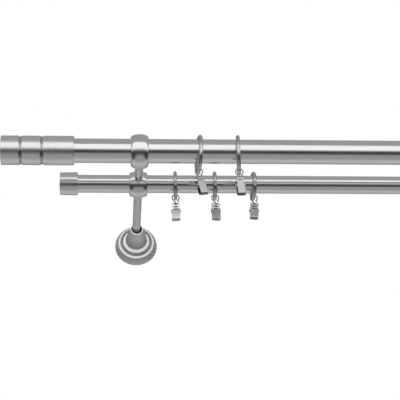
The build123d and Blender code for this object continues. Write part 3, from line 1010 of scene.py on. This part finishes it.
class POLE_OT_clips(bpy.types.Operator):
    """Finish the clip plates, jaws, pins and springs"""

    bl_idname = "pole.clips"
    bl_label = "Clips"

    def execute(self, context):
        s = sizes()
        pin_metal = metal("pin nickel", colours().bright, stamped_grain, roughness=0.2, scale=1500.0)
        spring_metal = metal("spring steel", colours().spring, stamped_grain, roughness=0.3, scale=1500.0)
        for name in SETS:
            nodes = set_nodes(name)
            # The clips that hang turned round get a darker copy of the plating as painted shade.
            shaded_plating = [part * CLIP_SHADES.get(name, 1.0) for part in colours().bright]
            bright = metal(
                f"{name} clip nickel",
                shaded_plating,
                stamped_grain,
                roughness=0.22,
                scale=1100.0,
                relief=0.12,
                spread=0.10,
            )
            dress(softened(nodes["clip"], s.sheet_edge), bright, nodes["clip"], nodes["clip"])
            jaw = softened(nodes["jaw"], s.sheet_edge)
            self.reshape_jaw(jaw, nodes)
            dress(jaw, bright, nodes["jaw"], nodes["jaw"])
            dress(softened(nodes["pin"], s.sheet_edge), pin_metal, nodes["pin"], nodes["clip"])
            self.add_spring(nodes, spring_metal)
        return {"FINISHED"}

    def reshape_jaw(self, jaw, nodes):
        """Flares the jaw's upper end further and sets its windows lower, as in the photograph."""
        top, _, up, wide = clip_directions(nodes)
        outward = wide.cross(up)
        for vertex in jaw.data.vertices:
            from_top = vertex.co - top
            depth = -from_top.dot(up) / MM
            lower = depth
            if abs(from_top.dot(wide)) < WINDOW_REACH * MM:
                for (one, new_one), (two, new_two) in zip(WINDOW_DEPTHS, WINDOW_DEPTHS[1:]):
                    if one <= depth < two:
                        lower = new_one + (new_two - new_one) * (depth - one) / (two - one)
            flare = JAW_FLARE[1] * max(0, FLARE_END - lower)
            flare -= JAW_FLARE[0] * max(0, FLARE_END - depth)
            vertex.co += (up * (depth - lower) + outward * flare) * MM

    def add_spring(self, nodes, material):
        """A softened copy of the leaf spring, given the spring steel and fixed where it is, in place of its
        CAD node.
        """
        spring = softened(nodes["spring"], sizes().sheet_edge / 2)
        spring.data.materials.clear()
        spring.data.materials.append(material)
        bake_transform(spring)
        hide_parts(nodes["spring"])


class POLE_OT_stage(bpy.types.Operator):
    """Add the floor, the studio panels, the lamps, the world and the camera"""

    bl_idname = "pole.stage"
    bl_label = "Stage"

    def execute(self, context):
        self.add_floor()
        self.add_panels()
        self.add_lamps()
        self.set_world()
        self.add_camera()
        context.scene.view_settings.view_transform = "Standard"
        return {"FINISHED"}

    def add_floor(self):
        """A plain pale floor under the camera, which metal doesn't see past the panels."""
        mesh = bpy.data.meshes.new("floor")
        ways = ((-1, -1), (1, -1), (1, 1), (-1, 1))
        corners = [(across * FLOOR_REACH, deep * FLOOR_REACH, FLOOR_LEVEL) for across, deep in ways]
        mesh.from_pydata(corners, [], [(0, 1, 2, 3)])
        floor = add_object("floor", mesh)
        graph = Surface("pale floor")
        soft = graph.noise(graph.place(), scale=3.0, detail=2.0)
        graph.shade(Base_Color=graph.tint(colours().floor, darker=0.97, amount=soft), Roughness=0.8)
        mesh.materials.append(graph.material)
        floor.visible_glossy = False

    def add_panels(self):
        """Grey studio panels round the pole. Metal reflects them and the camera doesn't see them."""
        self.add_panel("lower_panel", LOWER_TONES, -PANEL_REACH, PANEL_REACH)
        self.add_panel("upper_panel", UPPER_TONES, -PANEL_REACH, PANEL_REACH)
        self.add_panel("left_wing", WING_TONES, -PANEL_REACH, -WING_START)
        self.add_panel("right_wing", WING_TONES, WING_START, PANEL_REACH)

    def add_panel(self, name, tones, first_side, last_side):
        """A panel on a large sphere, whose tone changes with the turn about the poles and sideways."""
        columns = round((last_side - first_side) / PANEL_STEP)
        points = []
        levels = []
        rows = 0
        for one, two in zip(tones, tones[1:]):
            steps = max(1, round((two[0] - one[0]) / PANEL_STEP))
            for step in range(steps + (two is tones[-1])):
                share = step / steps
                turn, middle, side, edge, lift = (a + (b - a) * share for a, b in zip(one, two))
                rows += 1
                for column in range(columns + 1):
                    angle = first_side + (last_side - first_side) * column / columns
                    aside = radians(angle)
                    up = radians(turn + lift * min(abs(angle) / LIFT_ANGLE, 1) ** 2)
                    fade = min(max((abs(angle) - edge) / SIDE_FADE, 0), 1)
                    way = Vector((sin(aside), -cos(aside) * cos(up), cos(aside) * sin(up)))
                    points.append(tuple(PANEL_CENTRE + way * PANEL_RADIUS))
                    levels.append(middle + (side - middle) * fade)
        faces = []
        for row in range(rows - 1):
            for column in range(columns):
                first = row * (columns + 1) + column
                faces.append((first, first + 1, first + columns + 2, first + columns + 1))
        mesh = bpy.data.meshes.new(name)
        mesh.from_pydata(points, [], faces)
        mesh.attributes.new("tone", "FLOAT", "POINT").data.foreach_set("value", levels)
        panel = add_object(name, mesh)
        graph = Surface(name)
        level = graph.node("ShaderNodeAttribute", {"attribute_name": "tone"}).outputs["Fac"]
        glow = graph.node("ShaderNodeEmission", None, {"Strength": level})
        graph.feed(graph.output.inputs["Surface"], glow.outputs[0])
        mesh.materials.append(graph.material)
        panel.visible_camera = False
        panel.visible_diffuse = False
        panel.visible_shadow = False
        panel.visible_transmission = False

    def add_lamps(self):
        """Two soft boxes at a plain level, which give the few dull surfaces their form."""
        for name, place, power in LAMPS:
            light = bpy.data.lights.new(name, "AREA")
            light.shape = "DISK"
            light.size = LAMP_WIDTH
            light.energy = power
            lamp = add_object(name, light)
            lamp.location = place
            lamp.rotation_mode = "QUATERNION"
            lamp.rotation_quaternion = (-Vector(place)).to_track_quat("-Z", "Y")
            lamp.visible_glossy = False

    def set_world(self):
        """White to the camera and in the metal, and a plain soft level for everything else."""
        world = bpy.data.worlds.new("studio")
        bpy.context.scene.world = world
        world.use_nodes = True
        graph = Graph(world.node_tree)
        graph.tree.nodes.clear()
        rays = graph.node("ShaderNodeLightPath").outputs
        seen = graph.number(rays["Is Camera Ray"])
        for ray in ("Is Glossy Ray", "Is Transmission Ray"):
            seen = seen.larger(graph.number(rays[ray]))
        soft = graph.node("ShaderNodeBackground", None, {"Color": WHITE, "Strength": SOFT_LEVEL})
        white = graph.node("ShaderNodeBackground", None, {"Color": WHITE, "Strength": 1.0})
        mix = graph.node("ShaderNodeMixShader", None, {0: seen, 1: soft.outputs[0], 2: white.outputs[0]})
        graph.node("ShaderNodeOutputWorld", None, {0: mix.outputs[0]})

    def add_camera(self):
        """The photograph's camera: low in front of the poles, a long lens, looking up."""
        rise = radians(CAMERA_RISE)
        turn = radians(CAMERA_TURN)
        roll = radians(CAMERA_ROLL)
        forward = Vector((sin(turn) * cos(rise), cos(turn) * cos(rise), sin(rise)))
        level = Vector((cos(turn), -sin(turn), 0))
        upward = level.cross(forward)
        right = level * cos(roll) + upward * sin(roll)
        up = upward * cos(roll) - level * sin(roll)
        lens = bpy.data.cameras.new("photo_camera")
        lens.sensor_width = CAMERA_SENSOR
        lens.lens = CAMERA_LENS
        lens.clip_start = 0.05
        lens.clip_end = 60.0
        camera = add_object("photo_camera", lens)
        turned = Matrix((right, up, -forward)).transposed().to_4x4()
        camera.matrix_world = Matrix.Translation(CAMERA_PLACE) @ turned
        bpy.context.scene.camera = camera


OPERATORS = (
    POLE_OT_stage,
    POLE_OT_tubes,
    POLE_OT_finials,
    POLE_OT_caps,
    POLE_OT_holders,
    POLE_OT_arms,
    POLE_OT_covers,
    POLE_OT_plates,
    POLE_OT_rings,
    POLE_OT_hooks,
    POLE_OT_clips,
)


class POLE_PT_panel(bpy.types.Panel):
    """Lists the pieces of the curtain pole"""

    bl_idname = "POLE_PT_panel"
    bl_label = "Curtain pole"
    bl_space_type = "VIEW_3D"
    bl_region_type = "UI"
    bl_category = "Curtain pole"

    def draw(self, context):
        for operator in OPERATORS:
            self.layout.operator(operator.bl_idname)


CLASSES = (PoleSizes, PoleColours, *OPERATORS, POLE_PT_panel)


def register():
    for one in CLASSES:
        bpy.utils.register_class(one)
    bpy.types.Scene.pole_sizes = PointerProperty(type=PoleSizes)
    bpy.types.Scene.pole_colours = PointerProperty(type=PoleColours)


def unregister():
    del bpy.types.Scene.pole_colours
    del bpy.types.Scene.pole_sizes
    for one in reversed(CLASSES):
        bpy.utils.unregister_class(one)


def main():
    register()
    bpy.ops.pole.stage()
    bpy.ops.pole.tubes()
    bpy.ops.pole.finials()
    bpy.ops.pole.caps()
    bpy.ops.pole.holders()
    bpy.ops.pole.arms()
    bpy.ops.pole.covers()
    bpy.ops.pole.plates()
    bpy.ops.pole.rings()
    bpy.ops.pole.hooks()
    bpy.ops.pole.clips()


if __name__ == "__main__":
    main()
